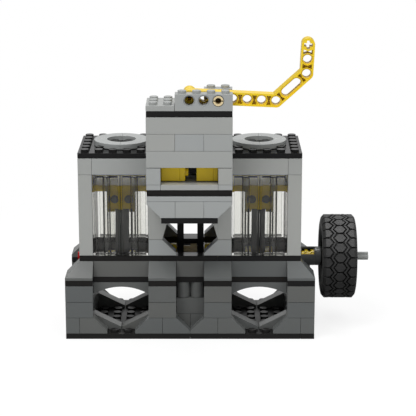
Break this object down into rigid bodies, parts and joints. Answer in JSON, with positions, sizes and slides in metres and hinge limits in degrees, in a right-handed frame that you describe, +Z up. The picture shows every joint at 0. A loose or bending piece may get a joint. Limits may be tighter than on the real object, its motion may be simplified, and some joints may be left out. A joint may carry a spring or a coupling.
{
  "type": "vacuum engine model",
  "caption": "Desk model of a vacuum engine in toy building bricks: clear-walled cylinders on an arched base, a throttle tower with a bent lever and a wheel as its flywheel.",
  "frame": {"origin": "middle of the base plate's underside", "axes": "+X along the crankshaft towards the flywheel, -Y to the front with the throttle tower, +Z up"},
  "size_m": [0.1772, 0.08, 0.1768],
  "materials": {
    "black_brick": "glossy moulded plastic",
    "dark_grey_brick": "glossy moulded plastic",
    "light_grey_brick": "glossy moulded plastic",
    "yellow_brick": "glossy moulded plastic",
    "tan_brick": "glossy moulded plastic",
    "red_axle": "glossy moulded plastic",
    "clear_brick": "clear moulded plastic",
    "tyre_rubber": "matte moulded rubber"
  },
  "bodies": {
    "engine": {"arch_front_left": "dark_grey_brick", "arch_front_right": "dark_grey_brick", "arch_rear_left": "dark_grey_brick", "arch_rear_right": "dark_grey_brick", "axle_brick_left": "dark_grey_brick", "axle_brick_right": "dark_grey_brick", "base_plate": "black_brick", "belt_plate": "black_brick", "centre_pier_front": "dark_grey_brick", "centre_pier_rear": "dark_grey_brick", "cylinder_frame_left": "light_grey_brick", "cylinder_frame_right": "light_grey_brick", "deck_plate": "black_brick", "end_wall_left": "dark_grey_brick", "end_wall_right": "dark_grey_brick", "gate_blocks": "yellow_brick", "gate_housing": "light_grey_brick", "head_plate_left": "black_brick", "head_plate_right": "black_brick", "inner_bearing_left": "dark_grey_brick", "inner_bearing_right": "dark_grey_brick", "inner_wall_left": "light_grey_brick", "inner_wall_right": "light_grey_brick", "lever_pin": "tan_brick", "pivot_brick_front": "light_grey_brick", "pivot_brick_rear": "light_grey_brick", "port_ring_left": "light_grey_brick", "port_ring_right": "light_grey_brick", "slope_course_front": "dark_grey_brick", "slope_course_rear": "dark_grey_brick", "slot_plate": "black_brick", "top_plate": "light_grey_brick", "tower_cap": "black_brick", "tower_foot_plate": "black_brick", "tower_hopper": "light_grey_brick", "valve_chest": "light_grey_brick", "valve_tower": "light_grey_brick", "window_front_left": "clear_brick", "window_front_right": "clear_brick", "window_rear_left": "clear_brick", "window_rear_right": "clear_brick"},
    "crankshaft": {"crank_axle_left": "red_axle", "crank_web_left": "yellow_brick", "crank_web_right": "yellow_brick", "crank_centre_left": "yellow_brick", "crank_centre_right": "yellow_brick", "valve_crank_pin": "tan_brick", "main_axle": "light_grey_brick", "flywheel_coupling": "dark_grey_brick", "coupling_bushes": "yellow_brick", "flywheel_rim": "black_brick", "flywheel_tyre": "tyre_rubber"},
    "valve_rods": {"valve_rods": "black_brick"},
    "valve_slider": {"valve_slider": "dark_grey_brick"},
    "piston_left": {"piston_left": "yellow_brick"},
    "piston_right": {"piston_right": "yellow_brick"},
    "conrod_left": {"conrod_left": "dark_grey_brick"},
    "conrod_right": {"conrod_right": "dark_grey_brick"},
    "throttle_lever": {"throttle_lever": "yellow_brick"},
    "throttle_gate": {"throttle_gate": "black_brick"}
  },
  "joints": [
    {"name": "crank_turn", "type": "hinge", "parent": "engine", "child": "crankshaft", "pos_m": [0, 0, 0.041], "axis": [1, 0, 0], "continuous": true},
    {"name": "valve_rods_turn", "type": "hinge", "parent": "crankshaft", "child": "valve_rods", "pos_m": [0, 0, 0.045], "axis": [1, 0, 0], "continuous": true},
    {"name": "valve_slide", "type": "slide", "parent": "engine", "child": "valve_slider", "axis": [0, 0, 1], "range_m": [-0.004, 0.004]},
    {"name": "piston_left_slide", "type": "slide", "parent": "engine", "child": "piston_left", "axis": [0, 0, 1], "range_m": [-0.008, 0.008]},
    {"name": "piston_right_slide", "type": "slide", "parent": "engine", "child": "piston_right", "axis": [0, 0, 1], "range_m": [-0.008, 0.008]},
    {"name": "conrod_left_swing", "type": "hinge", "parent": "piston_left", "child": "conrod_left", "pos_m": [-0.04, 0, 0.07198], "axis": [1, 0, 0], "range_deg": [0, 28.95]},
    {"name": "conrod_right_swing", "type": "hinge", "parent": "piston_right", "child": "conrod_right", "pos_m": [0.04, 0, 0.07198], "axis": [1, 0, 0], "range_deg": [-28.95, 0]},
    {"name": "lever_swing", "type": "hinge", "parent": "engine", "child": "throttle_lever", "pos_m": [0.016, -0.036, 0.1434], "axis": [0, 1, 0], "range_deg": [-9, 7]},
    {"name": "gate_slide", "type": "slide", "parent": "engine", "child": "throttle_gate", "axis": [0, 0, 1], "range_m": [-0.0026, 0.002]}
  ],
  "couplings": [
    {"joint": "valve_rods_turn", "follows": "crank_turn", "ratio": -1},
    {"joint": "piston_right_slide", "follows": "piston_left_slide", "ratio": -1},
    {"joint": "conrod_right_swing", "follows": "conrod_left_swing", "ratio": -1},
    {"joint": "gate_slide", "follows": "lever_swing", "m_per_rad": 0.016}
  ]
}
